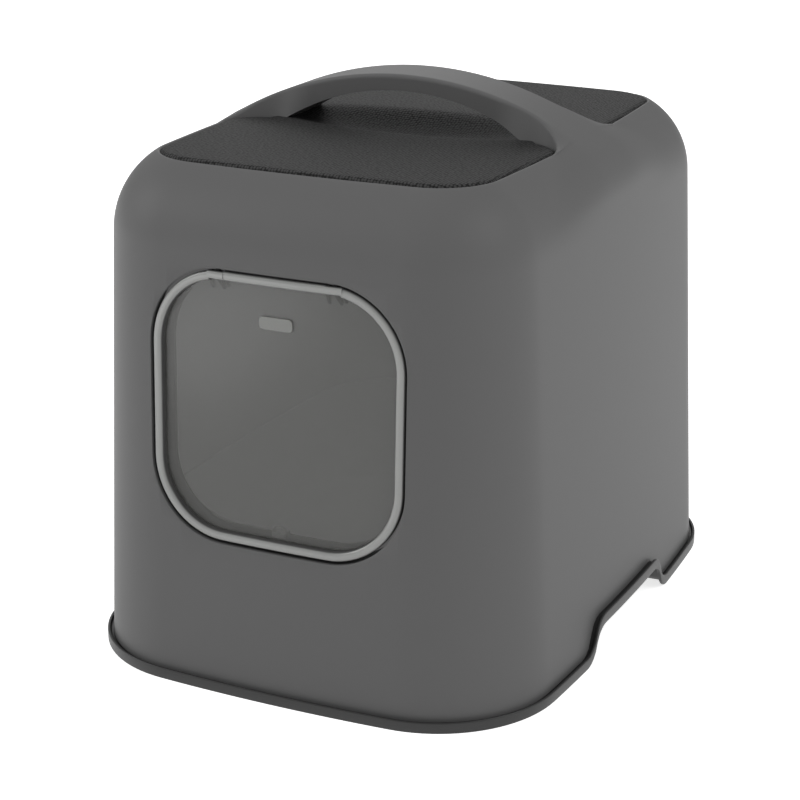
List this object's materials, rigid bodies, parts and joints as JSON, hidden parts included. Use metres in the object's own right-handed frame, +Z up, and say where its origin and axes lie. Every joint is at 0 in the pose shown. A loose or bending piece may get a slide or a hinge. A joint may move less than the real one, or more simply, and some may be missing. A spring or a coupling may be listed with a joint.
{
  "type": "litter box",
  "caption": "Hooded litter box: tray with finger grips, lift-off hood with carry handle, grained roof pad and see-through swing door.",
  "frame": {"origin": "on the floor under the middle of the tray's rim", "axes": "+Z up, the swing door faces -Y, +X to the right of someone who looks at the door from the front"},
  "size_m": [0.395, 0.515, 0.438],
  "materials": {
    "tray_plastic": "satin moulded polypropylene, dark grey",
    "hood_plastic": "satin moulded polypropylene, mid grey",
    "pad_grain": "textile-grained moulding, dark grey",
    "door_bead": "frosted clear styrene",
    "window_clear": "clear smoke-tinted styrene",
    "badge_frost": "frosted bare plate",
    "hinge_plastic": "moulded acetal, dark grey",
    "filter_foam": "carbon-filled foam"
  },
  "bodies": {
    "tray": {"litter_tray": "tray_plastic"},
    "hood": {"hood_shell": "hood_plastic", "carry_handle": "hood_plastic", "door_collar": "hood_plastic", "roof_pad": "pad_grain", "catch_strike": "hood_plastic", "hinge_hook_left": "hood_plastic", "hinge_hook_right": "hood_plastic", "filter_brackets": "pad_grain"},
    "door": {"door_frame": "door_bead", "door_window": "window_clear", "badge_plate": "badge_frost", "door_catch": "door_bead", "hinge_pin_left": "hinge_plastic", "hinge_pin_right": "hinge_plastic", "hinge_lugs_left": "hinge_plastic", "hinge_lugs_right": "hinge_plastic"},
    "filter": {"filter_holder": "pad_grain", "carbon_filter": "filter_foam"}
  },
  "joints": [
    {"name": "hood_lift", "type": "slide", "parent": "tray", "child": "hood", "axis": [0, 0, 1], "range_m": [0, 0.12]},
    {"name": "door_swing", "type": "hinge", "parent": "hood", "child": "door", "pos_m": [0, -0.2331, 0.3245], "axis": [1, 0, 0], "range_deg": [-55, 75]},
    {"name": "filter_swing", "type": "hinge", "parent": "hood", "child": "filter", "pos_m": [0, 0.152, 0.383], "axis": [1, 0, 0], "range_deg": [0, 80]}
  ]
}
